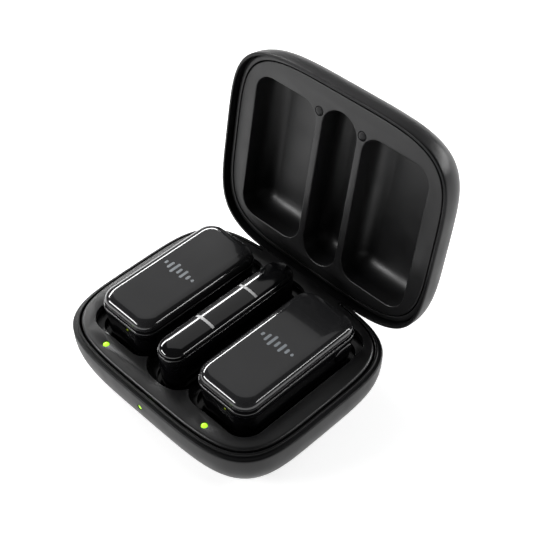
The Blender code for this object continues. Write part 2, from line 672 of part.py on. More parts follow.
def make_receiver():
    seat = pivot("receiver_seat", (0.0, BAY_Y, RX_BOTTOM))
    high = RX_SEAM_Z - 0.15
    profile = ((1.2, RX_BOTTOM), (0.6, 12.8), (0.35, 13.8), (0.0, 22.8))
    profile += ((0.0, high - 0.2), (0.2, high), (1.2, high), (1.5, 13.8))
    housing = stack("receiver_housing", [rx_ring(RX_HALF, inset, z) for inset, z in profile], GLOSS_BLACK)
    hole = rounded(PLUG_HALF[0] + GAP, PLUG_HALF[1] + GAP, 1.55, (0.0, BAY_Y), 4)
    cut(housing, stack("plug_hole", [(hole, 11.5), (hole, 15.0)], None, TOOLS))
    low = RX_SEAM_Z + 0.15
    profile = ((1.9, 25.75), (1.1, 25.6), (0.95, low), (0.1, low), (0.0, low + 0.1))
    profile += ((0.08, 25.7), (0.5, 26.25), (1.2, 26.65), (2.1, 26.95), (3.3, 27.1))
    cover = stack("receiver_cover", [rx_ring(RX_SEAM_HALF, inset, z) for inset, z in profile], GLOSS_BLACK)
    pieces = [housing, cover]
    for side, label in ((-1, "front"), (1, "back")):
        y = BAY_Y + side * RX_BAR_Y
        low_corner, high_corner = (-3.3, y - 0.7, 25.0), (3.3, y + 0.7, 28.0)
        cut(cover, box(f"bar_slot_{label}", low_corner, high_corner, None, TOOLS))
        pieces.append(make_light_bar(label, y))
    outer = rounded(PLUG_HALF[0], PLUG_HALF[1], PLUG_HALF[0], (0.0, BAY_Y))
    inner = rounded(PLUG_HALF[0] - 0.3, PLUG_HALF[1] - 0.3, PLUG_HALF[0] - 0.3, (0.0, BAY_Y))
    rings = [(outer, 14.3), (outer, PLUG_TIP), (inner, PLUG_TIP), (inner, 13.0)]
    pieces.append(stack("receiver_usb_plug", rings, STEEL))
    pieces.append(box("receiver_board", (-2.5, BAY_Y - 19.0, 14.7), (2.5, BAY_Y + 19.0, 15.5), BOARD, PARTS))
    for tool in [step.object for piece in pieces for step in piece.modifiers]:
        hang(tool, seat)
    for piece in pieces:
        hang(piece, seat)


def make_light_bar(label, y):
    """Light bar whose top follows the cover's dome."""
    crown = 27.12
    fall = 0.055
    mesh_data = bmesh.new()
    for_side = []
    for place in (y - 0.4, y + 0.4):
        points = [(-3.0, 25.95), (3.0, 25.95)]
        points += [(cx, crown - fall * cx * cx) for cx in (3.0, 2.0, 1.0, 0.0, -1.0, -2.0, -3.0)]
        for_side.append([mesh_data.verts.new((cx * MM, place * MM, cz * MM)) for cx, cz in points])
    for index in range(len(for_side[0])):
        after = (index + 1) % len(for_side[0])
        mesh_data.faces.new((for_side[0][index], for_side[0][after], for_side[1][after], for_side[1][index]))
    mesh_data.faces.new(for_side[0])
    mesh_data.faces.new(reversed(for_side[1]))
    return finish(f"receiver_light_bar_{label}", mesh_data, LIGHT_GREY, PARTS)


# ---------------------------------------------------------------- assembly


make_base_shell()
make_deck()
make_tray()
make_base_fittings()
lid_axis = pivot("lid_hinge_axis", (0.0, HINGE_Y, HINGE_Z))
make_lid_shell(lid_axis)
make_liner(lid_axis)
make_lid_fittings(lid_axis)
lid_axis.rotation_euler.x = math.radians(-LID_OPEN_ANGLE)
for side_sign, side_label in ((-1, "left"), (1, "right")):
    make_transmitter(side_sign, side_label)
make_receiver()
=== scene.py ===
"""Looks of the wireless microphone set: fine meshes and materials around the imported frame."""

import json
import math

import bmesh
import bpy
from mathutils import Matrix, Vector


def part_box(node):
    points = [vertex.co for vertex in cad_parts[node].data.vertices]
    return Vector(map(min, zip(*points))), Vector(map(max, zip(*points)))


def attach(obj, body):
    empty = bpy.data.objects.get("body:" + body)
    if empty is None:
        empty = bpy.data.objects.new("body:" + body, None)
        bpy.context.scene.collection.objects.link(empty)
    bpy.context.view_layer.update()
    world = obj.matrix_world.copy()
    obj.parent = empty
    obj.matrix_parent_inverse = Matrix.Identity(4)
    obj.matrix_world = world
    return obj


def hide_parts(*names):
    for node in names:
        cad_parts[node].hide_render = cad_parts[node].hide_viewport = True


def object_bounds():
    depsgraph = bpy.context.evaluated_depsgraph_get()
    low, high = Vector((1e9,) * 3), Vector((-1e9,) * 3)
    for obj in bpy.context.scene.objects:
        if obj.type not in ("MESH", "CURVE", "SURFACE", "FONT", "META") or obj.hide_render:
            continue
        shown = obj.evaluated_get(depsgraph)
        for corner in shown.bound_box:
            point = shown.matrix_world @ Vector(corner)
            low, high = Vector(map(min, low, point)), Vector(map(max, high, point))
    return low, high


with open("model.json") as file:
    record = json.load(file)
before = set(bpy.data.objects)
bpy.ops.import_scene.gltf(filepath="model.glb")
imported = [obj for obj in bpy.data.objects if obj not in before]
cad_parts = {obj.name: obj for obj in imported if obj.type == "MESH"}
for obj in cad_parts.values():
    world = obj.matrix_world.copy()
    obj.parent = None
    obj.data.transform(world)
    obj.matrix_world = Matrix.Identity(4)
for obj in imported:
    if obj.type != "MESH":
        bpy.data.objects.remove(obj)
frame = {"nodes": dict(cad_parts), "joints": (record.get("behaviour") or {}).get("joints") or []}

CAD_LOW, CAD_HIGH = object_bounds()
MM = 0.001
JOINTS = {joint["name"]: joint for joint in frame["joints"]}
NODES = frame["nodes"]

# ---------------------------------------------------------------- driving sizes, in millimetres


def edge(node, corner, axis):
    """One side of a node's box, in millimetres: corner 0 is the low one, 1 the high one."""
    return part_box(node)[corner][axis] / MM


def middle(node, axis):
    """The middle of a node's box along an axis, in millimetres."""
    return (edge(node, 0, axis) + edge(node, 1, axis)) / 2


# Case outline and base. A power of 2 gives an ellipse, and a higher one a squarer curve.
CASE_POWER = 4.4
CASE_HALF = (edge("base_shell", 1, 0), 31.16)
BASE_FILLET = 15.0
BASE_POWER = 2.6
BASE_WALL = 1.6
RIM_Z = 16.0
LIP_Z = edge("base_shell", 1, 2)
FRONT_LENS_Y = -28.65
PORT_HOLE = (4.8, 1.9, 1.8)
PORT_PLACE = (0.0, 30.0, 4.7)

# Deck, tray and the openings over the wells. An opening is half width, half length and corner.
DECK_HALF = (36.3, 29.0)
DECK_Z = edge("deck_frame", 1, 2)
DECK_LOW = edge("deck_frame", 0, 2)
TRAY_HALF = (34.5, 27.3)
TRAY_LOW, TRAY_TOP = 12.8, 15.3
BAY_Y = middle("receiver_housing", 1)
TX_X = middle("transmitter_right_body", 0)
TX_OPENING = (12.25, 24.0, 6.3)
TX_OPENING_X = 18.85
RX_OPENING = (8.5, 25.6, 7.0)

# Steps of a transmitter's well: half width, half length, corner, shift, bottom and top.
CLIP_SHIFT = 2.3
CUP_TOP = 13.4
TX_CUPS = ((11.75, 23.1, 6.0, 0.0, 9.8, CUP_TOP), (9.5, 18.45, 4.2, CLIP_SHIFT, 4.5, 10.2))
TX_WELLS = ((10.65, 22.0, 5.2, 0.0, 10.9, 15.0), (8.6, 17.5, 3.4, CLIP_SHIFT, 5.5, 12.0))
RX_CUP = (6.5, 24.9, 6.5)
RX_CUP_LOW = 11.0
RX_WELL = (5.5, 23.9, 5.5)
RX_WELL_FLOOR = 12.2

# Lenses and buffers: radius, height and crown.
DECK_LENS = (0.88, 1.5, 0.08)
DECK_LENS_Z = 15.9
FRONT_LENS = (0.82, 2.2, 0.06)
STATUS_LENS = (0.4, 1.8, 0.05)
BUFFER = (1.3, 0.9, 0.12)

# Transmitters.
TX_TOP = edge("transmitter_right_cap", 1, 2)
TX_SEAM = edge("transmitter_right_cap", 0, 2)
TX_CAP_HALF = (9.69, 21.0)
TX_BODY_HALF = (10.15, 21.45)
TX_BOTTOM = 11.8
TX_CAP_CORNER = 4.6
TX_BODY_CORNER = 5.0
BUTTON_Y = middle("transmitter_right_button", 1)
BUTTON_Z = middle("transmitter_right_button", 2)
STATUS_X = 2.7
STATUS_Z = middle("transmitter_right_status_light", 2)
CLIP_PIN_Y = 16.9
CLIP_PIN_Z = 10.5
CLIP_BARREL = 1.0
CLIP_BORE = 0.6
CLIP_PLACE = 2.2
CLIP_ARM = (7.0, 15.4, 3.0)
CLIP_TOP = 9.2
RIB_PITCH = 1.3
MARK_HEIGHTS = (1.3, 2.7, 4.0, 2.2, 3.3, 1.8, 1.0)
MARK_PITCH = 1.75
MARK_HALF_WIDTH = 0.42

# Receiver.
RX_HALF = (4.54, 23.2)
RX_CAP_HALF = (4.24, 22.9)
RX_TOP = edge("receiver_cover", 1, 2)
RX_SEAM = edge("receiver_cover", 0, 2)
RX_BOTTOM = edge("receiver_housing", 0, 2)
RX_DOME_LOW = RX_SEAM + 0.25
BAR_Y = 7.85

# Lid and hinge.
HINGE = Vector(JOINTS["lid_hinge"]["pos_m"])
LID_ANGLE = JOINTS["lid_hinge"]["range_deg"][0]
LINER_Z = 18.3
LID_RIM_Z = 16.3
LID_TOP = 30.1
LID_POWER = 2.5
LINER_HALF = (35.85, 28.55)
FRAME_INNER_HALF = (36.1, 28.8)
BUFFER_PLACE = (7.6, -20.7, 19.15)
KNUCKLE_HALF = 14.8
KNUCKLE_RADIUS = 1.6
PIN_BORE = 0.9
NOTCH_HALF = 15.2
LID_OPEN = (
    Matrix.Translation(HINGE)
    @ Matrix.Rotation(math.radians(LID_ANGLE), 4, "X")
    @ Matrix.Translation(-HINGE)
)

# ---------------------------------------------------------------- outlines


def squircle(inset=0.0, half=CASE_HALF, count=168):
    """Superellipse outline, anticlockwise."""
    points = []
    for step in range(count):
        angle = 2 * math.pi * step / count
        across, along = math.cos(angle), math.sin(angle)
        x = math.copysign(abs(across) ** (2 / CASE_POWER), across) * (half[0] - inset)
        y = math.copysign(abs(along) ** (2 / CASE_POWER), along) * (half[1] - inset)
        points.append((x, y))
    return points


def rounded(half_x, half_y, radius, centre=(0.0, 0.0), steps=12):
    """Rectangle with round corners, anticlockwise; a radius of half_x gives a stadium."""
    radius = min(radius, half_x - 0.002, half_y - 0.002)
    points = []
    for corner, (side_x, side_y) in enumerate(((1, 1), (-1, 1), (-1, -1), (1, -1))):
        middle_x = centre[0] + side_x * (half_x - radius)
        middle_y = centre[1] + side_y * (half_y - radius)
        for step in range(steps + 1):
            angle = math.radians(90 * corner + 90 * step / steps)
            x = middle_x + radius * math.cos(angle)
            y = middle_y + radius * math.sin(angle)
            points.append((x, y))
    return points


def quarter(start, end, steps, power=2.0):
    """Points from start to end on a quarter of a superellipse that leaves start upright."""
    points = []
    for step in range(steps + 1):
        angle = math.radians(90 * step / steps)
        across = 1 - math.cos(angle) ** (2 / power)
        up = math.sin(angle) ** (2 / power)
        x = start[0] + (end[0] - start[0]) * across
        y = start[1] + (end[1] - start[1]) * up
        points.append((x, y))
    return points


# ---------------------------------------------------------------- making meshes


def to_object(name, mesh_data, sharp=32):
    """Object from finished mesh data, smooth but for edges over the sharp angle."""
    bmesh.ops.recalc_face_normals(mesh_data, faces=mesh_data.faces)
    mesh = bpy.data.meshes.new(name)
    mesh_data.to_mesh(mesh)
    mesh_data.free()
    mesh.shade_smooth()
    mesh.set_sharp_from_angle(angle=math.radians(sharp))
    made = bpy.data.objects.new(name, mesh)
    bpy.context.scene.collection.objects.link(made)
    return made


def stack(name, rings, closed_band=False, sharp=32):
    """Body through (outline, z) rings; a closed band joins the last ring to the first."""
    mesh_data = bmesh.new()
    loops = []
    for outline, height in rings:
        loops.append([mesh_data.verts.new((x * MM, y * MM, height * MM)) for x, y in outline])
    uppers = loops[1:] + loops[:1] if closed_band else loops[1:]
    for lower, upper in zip(loops, uppers):
        for index in range(len(lower)):
            after = (index + 1) % len(lower)
            mesh_data.faces.new((lower[index], lower[after], upper[after], upper[index]))
    if not closed_band:
        mesh_data.faces.new(reversed(loops[0]))
        mesh_data.faces.new(loops[-1])
    return to_object(name, mesh_data, sharp)


def prism(name, outline, low, high):
    """Upright body of one outline."""
    return stack(name, [(outline, low), (outline, high)])


def box(name, low, high):
    """Block between two corners."""
    size = [(b - a) * MM for a, b in zip(low, high)]
    centre = [(a + b) / 2 * MM for a, b in zip(low, high)]
    mesh_data = bmesh.new()
    placing = Matrix.Translation(centre) @ Matrix.Diagonal((*size, 1.0))
    bmesh.ops.create_cube(mesh_data, size=1.0, matrix=placing)
    return to_object(name, mesh_data)


def rod(name, radius, start, end, sides=40):
    """Round bar between two points."""
    start, end = Vector(start) * MM, Vector(end) * MM
    turn = (end - start).to_track_quat("Z", "Y").to_matrix().to_4x4()
    mesh_data = bmesh.new()
    bmesh.ops.create_cone(
        mesh_data,
        cap_ends=True,
        segments=sides,
        radius1=radius * MM,
        radius2=radius * MM,
        depth=(end - start).length,
        matrix=Matrix.Translation((start + end) / 2) @ turn,
    )
    return to_object(name, mesh_data)


def domed_disc(name, radius, height, crown, place=(0.0, 0.0, 0.0)):
    """Turned lens: a short cylinder with a shallow dome, standing on its place."""
    dome_share, dome_step, sides = 0.8, 28, 32
    profile = []
    for share_radius, share_height in ((1.0, 0.0), (1.0, 0.75), (0.94, 0.93), (dome_share, 1.0)):
        profile.append((radius * share_radius, height * share_height))
    for step in (1, 2, 3):
        angle = math.radians(dome_step * step)
        profile.append((radius * dome_share * math.cos(angle), height + crown * math.sin(angle)))
    rings = []
    for ring_radius, z in profile:
        outline = []
        for index in range(sides):
            angle = 2 * math.pi * index / sides
            x = place[0] + ring_radius * math.cos(angle)
            y = place[1] + ring_radius * math.sin(angle)
            outline.append((x, y))
        rings.append((outline, place[2] + z))
    return stack(name, rings)


def turned(made, place, degrees, axis):
    """Turn a shape that was made at the origin, and move it to its place in millimetres."""
    shift = Matrix.Translation([part * MM for part in place])
    made.data.transform(shift @ Matrix.Rotation(math.radians(degrees), 4, axis))
    return made


def combine(target, tool, operation):
    """Join a tool to the target or cut it out, when the target is baked."""
    step = target.modifiers.new(tool.name, "BOOLEAN")
    step.operation = operation
    step.object = tool
    step.solver = "EXACT"
    tool.hide_render = True


def soften(target, width, angle, segments=3):
    """Round the edges over an angle, when the target is baked."""
    step = target.modifiers.new("edges", "BEVEL")
    step.width = width * MM
    step.segments = segments
    step.limit_method = "ANGLE"
    step.angle_limit = math.radians(angle)


def bake(target, sharp=32):
    """Apply the modifiers and drop the shapes that were cut away or joined."""
    tools = [step.object for step in target.modifiers if step.type == "BOOLEAN"]
    graph = bpy.context.evaluated_depsgraph_get()
    mesh = bpy.data.meshes.new_from_object(target.evaluated_get(graph))
    target.modifiers.clear()
    target.data = mesh
    mesh.shade_smooth()
    mesh.set_sharp_from_angle(angle=math.radians(sharp))
    for tool in tools:
        bpy.data.objects.remove(tool, do_unlink=True)


def settle(piece, material, body, *replaced):
    """Give a piece its material and its body, and hide the CAD nodes that it stands for."""
    piece.data.materials.clear()
    piece.data.materials.append(material)
    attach(piece, body)
    if replaced:
        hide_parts(*replaced)
    return piece


# ---------------------------------------------------------------- materials


class Finish:
    """A Principled material with the nodes that vary it over the surface."""

    def __init__(self, name, colour, roughness, **inputs):
        self.material = bpy.data.materials.new(name)
        self.material.use_nodes = True
        self.nodes = self.material.node_tree.nodes
        self.links = self.material.node_tree.links
        self.shader = self.nodes["Principled BSDF"]
        self.shader.inputs["Base Color"].default_value = (*colour, 1.0)
        self.shader.inputs["Roughness"].default_value = roughness
        for key, value in inputs.items():
            self.shader.inputs[key.replace("_", " ")].default_value = value
        self.place = self.nodes.new("ShaderNodeTexCoord")
        self.bumps = []

    def noise(self, per_metre, detail=3.0, stretch=None):
        """Noise in the piece's own space, drawn out along an axis if it is stretched."""
        texture = self.nodes.new("ShaderNodeTexNoise")
        texture.inputs["Scale"].default_value = per_metre
        texture.inputs["Detail"].default_value = detail
        source = self.place.outputs["Object"]
        if stretch:
            mapping = self.nodes.new("ShaderNodeMapping")
            mapping.inputs["Scale"].default_value = stretch
            self.links.new(source, mapping.inputs["Vector"])
            source = mapping.outputs["Vector"]
        self.links.new(source, texture.inputs["Vector"])
        return texture.outputs["Fac"]

    def ramp(self, value, low, high):
        """Spread a noise's middle range from low to high."""
        spread = self.nodes.new("ShaderNodeMapRange")
        spread.inputs["From Min"].default_value = 0.3
        spread.inputs["From Max"].default_value = 0.7
        spread.inputs["To Min"].default_value = low
        spread.inputs["To Max"].default_value = high
        self.links.new(value, spread.inputs["Value"])
        return spread.outputs["Result"]

    def vary_roughness(self, value, low, high):
        """Let a noise move the roughness between two values."""
        self.links.new(self.ramp(value, low, high), self.shader.inputs["Roughness"])

    def vary_colour(self, value, first, second):
        """Let a noise move the colour between two colours."""
        blend = self.nodes.new("ShaderNodeMix")
        blend.data_type = "RGBA"
        blend.inputs["A"].default_value = (*first, 1.0)
        blend.inputs["B"].default_value = (*second, 1.0)
        self.links.new(self.ramp(value, 0.0, 1.0), blend.inputs["Factor"])
        self.links.new(blend.outputs["Result"], self.shader.inputs["Base Color"])

    def bump(self, value, depth, strength=1.0):
        """Add relief of a depth in metres, on top of any that is there."""
        node = self.nodes.new("ShaderNodeBump")
        node.inputs["Strength"].default_value = strength
        node.inputs["Distance"].default_value = depth
        self.links.new(value, node.inputs["Height"])
        if self.bumps:
            self.links.new(self.bumps[-1].outputs["Normal"], node.inputs["Normal"])
        self.bumps.append(node)
        self.links.new(node.outputs["Normal"], self.shader.inputs["Normal"])


def tinted(colour, share):
    """A colour made darker or lighter by a share."""
    return tuple(part * share for part in colour)


def moulded(name, colour, roughness, grain, **inputs):
    """Matte or satin moulding: fine spark-eroded grain and faint handling marks."""
    finish = Finish(name, colour, roughness, **inputs)
    cloud = finish.noise(90, 4.0)
    finish.vary_colour(cloud, tinted(colour, 0.86), tinted(colour, 1.15))
    finish.vary_roughness(finish.noise(160, 5.0), roughness - 0.05, roughness + 0.05)
    finish.bump(finish.noise(5200, 2.0), grain)
    finish.bump(finish.noise(60, 2.0), 0.00004, 0.25)
    return finish.material


def polished(name, colour, roughness, **inputs):
    """Glossy moulding: faint wipe marks in the roughness and a trace of sink."""
    finish = Finish(name, colour, roughness, **inputs)
    finish.vary_colour(finish.noise(120, 3.0), tinted(colour, 0.9), tinted(colour, 1.1))
    wipes = finish.noise(140, 3.0, (1.0, 0.25, 1.0))
    finish.vary_roughness(wipes, roughness * 0.88, roughness * 1.15)
    finish.bump(finish.noise(45, 1.0), 0.00002, 0.08)
    return finish.material


def metal(name, colour, roughness):
    """Plated or drawn metal: fine lines along one axis and a cloudy tone."""
    finish = Finish(name, colour, roughness, Metallic=1.0)
    lines = finish.noise(2600, 3.0, (1.0, 0.05, 1.0))
    finish.vary_roughness(lines, roughness * 0.7, roughness * 1.4)
    finish.vary_colour(finish.noise(300, 3.0), tinted(colour, 0.85), tinted(colour, 1.08))
    finish.bump(lines, 0.000004)
    return finish.material


def glowing(name, colour, strength):
    """Lit light pipe, its colour a little uneven."""
    finish = Finish(name, colour, 0.25)
    finish.shader.inputs["Emission Strength"].default_value = strength
    finish.shader.inputs["Emission Color"].default_value = (*colour, 1.0)
    finish.vary_colour(finish.noise(1500, 2.0), tinted(colour, 0.85), colour)
    return finish.material


def circuit(name):
    """Solder-masked board: copper tracks and pads under green lacquer."""
    finish = Finish(name, (0.01, 0.12, 0.05), 0.35)
    cells = finish.nodes.new("ShaderNodeTexBrick")
    cells.inputs["Scale"].default_value = 420
    cells.inputs["Color1"].default_value = (0.008, 0.10, 0.04, 1)
    cells.inputs["Color2"].default_value = (0.02, 0.19, 0.08, 1)
    cells.inputs["Mortar"].default_value = (0.35, 0.26, 0.1, 1)
    cells.inputs["Mortar Size"].default_value = 0.03
    finish.links.new(finish.place.outputs["Object"], cells.inputs["Vector"])
    finish.links.new(cells.outputs["Color"], finish.shader.inputs["Base Color"])
    finish.bump(finish.noise(2200, 2.0), 0.00003)
    return finish.material


SHELL = moulded("soft_touch_shell", (0.004, 0.004, 0.0045), 0.38, 0.000008, IOR=1.32)
DECK = moulded("deck_satin", (0.0075, 0.0075, 0.008), 0.36, 0.000010)
LINER = moulded("liner_satin", (0.0075, 0.0075, 0.008), 0.4, 0.000010)
TRAY = polished("tray_gloss", (0.002, 0.002, 0.0025), 0.2)
BLACK = polished("black_gloss", (0.003, 0.003, 0.0035), 0.09, Coat_Weight=0.5, Coat_Roughness=0.03)
CAP = polished("cap_gloss", (0.018, 0.018, 0.019), 0.12, Coat_Weight=0.6, Coat_Roughness=0.04)
CLIP = moulded("clip_satin", (0.012, 0.012, 0.013), 0.38, 0.000008)
PRINT = moulded("print_grey", (0.24, 0.26, 0.28), 0.45, 0.000006)
LIME = glowing("light_lime", (0.42, 0.95, 0.03), 1.1)
LIME_DIM = glowing("light_lime_dim", (0.22, 0.3, 0.0), 0.25)
PALE = moulded("light_bar_pale", (0.62, 0.62, 0.62), 0.35, 0.000005)
STEEL = metal("steel_bright", (0.6, 0.6, 0.62), 0.26)
GOLD = metal("gold_plate", (0.85, 0.62, 0.25), 0.24)
NICKEL = metal("nickel_plate", (0.62, 0.61, 0.58), 0.2)
BOARD = circuit("circuit_board")
CELL = moulded("cell_wrap", (0.22, 0.25, 0.3), 0.4, 0.000010)
PIPE = moulded("socket_black", (0.012, 0.012, 0.012), 0.4, 0.000006)

# ---------------------------------------------------------------- case base


def bay_openings(low, high, grow=0.0):
    """The three overlapping openings above the wells."""
    tools = []
    for side in (-1, 1):
        outline = rounded(*(size + grow for size in TX_OPENING), (side * TX_OPENING_X, BAY_Y))
        tools.append(prism(f"opening_{side}", outline, low, high))
    outline = rounded(*(size + grow for size in RX_OPENING), (0.0, BAY_Y))
    tools.append(prism("opening_middle", outline, low, high))
    return tools


def base_curve(angle):
    """How far across and up the base's lower round is at an angle, as shares of its radius."""
    turn = math.radians(angle)
    return math.cos(turn) ** (2 / BASE_POWER), math.sin(turn) ** (2 / BASE_POWER)


def base_rings():
    """The base's section, from its foot up the outside, over the lip and down the inside."""
    rings = []
    for angle in range(90, 0, -6):
        across, up = base_curve(angle)
        rings.append((squircle(BASE_FILLET * (1 - across)), BASE_FILLET * (1 - up)))
    rings.append((squircle(0.0), BASE_FILLET))
    for inset, height in quarter((0.0, RIM_Z - 0.5), (0.5, RIM_Z), 5):
        rings.append((squircle(inset), height))
    for inset, rise in ((0.98, 0.0), (1.08, 0.06), (1.1, 0.16)):
        rings.append((squircle(inset), RIM_Z + rise))
    for inset, height in quarter((1.1, LIP_Z - 0.2), (1.3, LIP_Z), 3):
        rings.append((squircle(inset), height))
    for inset, height in reversed(quarter((1.7, LIP_Z - 0.2), (1.5, LIP_Z), 3)):
        rings.append((squircle(inset), height))
    inner = BASE_FILLET - BASE_WALL
    for angle in range(6, 91, 12):
        across, up = base_curve(angle)
        rings.append((squircle(BASE_FILLET - inner * across), BASE_FILLET - inner * up))
    return rings


def make_base_shell():
    """Base with its hinge ears, the notch for the lid's knuckle, and its port and light holes."""
    shell = stack("case_lower_shell", base_rings())
    y, z = HINGE.y / MM, HINGE.z / MM
    for side in (-1, 1):
        start, end = side * NOTCH_HALF, side * (NOTCH_HALF + 3.2)
        ear = rod(f"ear_{side}", KNUCKLE_RADIUS, (start, y, z), (end, y, z))
        combine(shell, ear, "UNION")
    notch = box("notch", (-NOTCH_HALF, 28.4, 12.2), (NOTCH_HALF, 33.0, 18.0))
    combine(shell, notch, "DIFFERENCE")
    combine(shell, rod("pin_hole", PIN_BORE, (-17.6, y, z), (17.6, y, z), 24), "DIFFERENCE")
    port = prism("port_cut", rounded(*PORT_HOLE), 0.0, 9.0)
    combine(shell, turned(port, PORT_PLACE, 90, "X"), "DIFFERENCE")
    z = middle("front_light", 2)
    combine(shell, rod("light_hole", 0.85, (0.0, -33.0, z), (0.0, -27.0, z), 24), "DIFFERENCE")
    bake(shell)
    settle(shell, SHELL, "base", "base_shell")


def make_deck():
    """Deck with its openings and its two lights."""
    rings = [(squircle(0.3, DECK_HALF), DECK_LOW), (squircle(0.0, DECK_HALF), DECK_LOW + 0.3)]
    for inset, height in quarter((0.0, DECK_Z - 0.7), (0.8, DECK_Z), 6):
        rings.append((squircle(inset, DECK_HALF), height))
    deck = stack("deck_top", rings)
    combine(deck, box("tab", (-14.9, 26.0, 16.2), (14.9, 29.7, DECK_Z - 0.02)), "UNION")
    for tool in bay_openings(DECK_LOW - 1, DECK_Z + 1):
        combine(deck, tool, "DIFFERENCE")
    for side, label in ((-1, "left"), (1, "right")):
        x, y = middle(f"deck_light_{label}", 0), middle(f"deck_light_{label}", 1)
        hole = rod(f"hole_{side}", 1.0, (x, y, 15.0), (x, y, 18.5), 32)
        combine(deck, hole, "DIFFERENCE")
        lens = domed_disc(f"deck_lens_{label}", *DECK_LENS, (x, y, DECK_LENS_Z))
        settle(lens, LIME, "base", f"deck_light_{label}")
    soften(deck, 0.28, 50)
    bake(deck)
    settle(deck, DECK, "base", "deck_frame")


def add_steps(tray, side, word, steps, operation):
    """Join the steps of one transmitter's cup to the tray, or cut out those of its well."""
    for index, (half_x, half_y, corner, shift, low, high) in enumerate(steps):
        outline = rounded(half_x, half_y, corner, (side * TX_X, BAY_Y + shift))
        combine(tray, prism(f"{word}_{side}_{index}", outline, low, high), operation)


def make_tray():
    """Tray: a plate with a cup under each opening, and a well in each cup."""
    tray = prism("wells", squircle(0.0, TRAY_HALF), TRAY_LOW, TRAY_TOP)
    for side in (-1, 1):
        add_steps(tray, side, "cup", TX_CUPS, "UNION")
    cup = prism("cup_middle", rounded(*RX_CUP, (0.0, BAY_Y)), RX_CUP_LOW, CUP_TOP)
    combine(tray, cup, "UNION")
    for tool in bay_openings(14.0, 16.0, 0.1):
        combine(tray, tool, "DIFFERENCE")
    for side in (-1, 1):
        add_steps(tray, side, "well", TX_WELLS, "DIFFERENCE")
        x = side * TX_X
        hole = box(f"contact_{side}", (x - 3.8, BAY_Y - 19.8, 9.0), (x + 3.8, BAY_Y - 16.2, 12.0))
        combine(tray, hole, "DIFFERENCE")
    well = prism("well_middle", rounded(*RX_WELL, (0.0, BAY_Y)), RX_WELL_FLOOR, 15.0)
    combine(tray, well, "DIFFERENCE")
    hole = box("socket_hole", (-2.5, BAY_Y - 5.5, 10.0), (2.5, BAY_Y + 5.5, 13.0))
    combine(tray, hole, "DIFFERENCE")
    soften(tray, 0.2, 50, 2)
    bake(tray)
    settle(tray, TRAY, "base", "well_tray")


def make_front_light():
    """Lens of the light in the base's front wall."""
    lens = domed_disc("front_lens", *FRONT_LENS)
    turned(lens, (0.0, FRONT_LENS_Y, middle("front_light", 2)), 90, "X")
    settle(lens, LIME, "base", "front_light")


# ---------------------------------------------------------------- lid


def on_lid(piece):
    """Swing a piece that was made in the shut lid's place to the open lid."""
    piece.data.transform(LID_OPEN)
    return piece


def lid_rings():
    """The lid's section, from its top down the outside, round the rim and up the inside."""
    rings = [(squircle(28.0), LID_TOP + 0.3), (squircle(22.0), LID_TOP + 0.2)]
    for inset, height in reversed(quarter((0.0, 17.2), (17.0, LID_TOP), 22, LID_POWER)):
        rings.append((squircle(inset), height))
    for inset, height in quarter((0.0, LID_RIM_Z + 0.4), (0.35, LID_RIM_Z), 4):
        rings.append((squircle(inset), height))
    rings += [(squircle(0.7), LID_RIM_Z), (squircle(0.8), LID_RIM_Z + 0.1)]
    rings += [(squircle(0.8), 19.0), (squircle(1.7), 19.6)]
    for inset, height in quarter((1.7, 20.0), (13.7, 29.2), 10, LID_POWER):
        rings.append((squircle(inset), height))
    return rings


def make_lid_shell():
    """Lid with the knuckle that turns on the hinge pin."""
    shell = stack("case_lid_shell", lid_rings())
    y, z = HINGE.y / MM, HINGE.z / MM
    arm = box("arm", (-KNUCKLE_HALF, y - 0.35, z), (KNUCKLE_HALF, y + 0.55, 17.4))
    combine(shell, arm, "UNION")
    knuckle = rod("knuckle", KNUCKLE_RADIUS, (-KNUCKLE_HALF, y, z), (KNUCKLE_HALF, y, z), 48)
    combine(shell, knuckle, "UNION")
    bore = rod("bore", PIN_BORE, (-KNUCKLE_HALF - 1, y, z), (KNUCKLE_HALF + 1, y, z), 24)
    combine(shell, bore, "DIFFERENCE")
    bake(shell)
    settle(on_lid(shell), SHELL, "lid", "lid_shell")


# Pockets: half width, half length, corner, place across, floor and where the round starts.
POCKETS = (
    ("left", 11.24, 22.8, 5.5, -19.42, 27.8, 22.6),
    ("right", 11.24, 22.8, 5.5, 19.42, 27.8, 22.6),
    ("middle", 6.09, 24.7, 6.09, 0.0, 28.0, 24.0),
)


def pocket(label, half_x, half_y, radius, x, floor, start, wall):
    """Pocket, or the cup round it: upright walls and a large round down to the floor."""

    def outline(grow, corner):
        return rounded(half_x + grow, half_y + grow, corner, (x, BAY_Y))

    rings = []
    if wall:
        rings.append((outline(wall, radius + wall), LINER_Z + 0.5))
    else:
        rings.append((outline(0.3, radius + 0.3), LINER_Z - 0.5))
        mouth = quarter((0.0, LINER_Z + 0.3), (-0.3, LINER_Z - 0.001), 5)
        for inset, height in reversed(mouth):
            rings.append((outline(-inset, radius - inset), height))
    fillet = floor - start
    for inset, height in quarter((0.0, start), (fillet + wall, floor + wall), 10):
        rings.append((outline(wall - inset, max(radius + wall - inset, 0.9)), height))
    return stack(f"pocket_{label}_{wall}", rings)


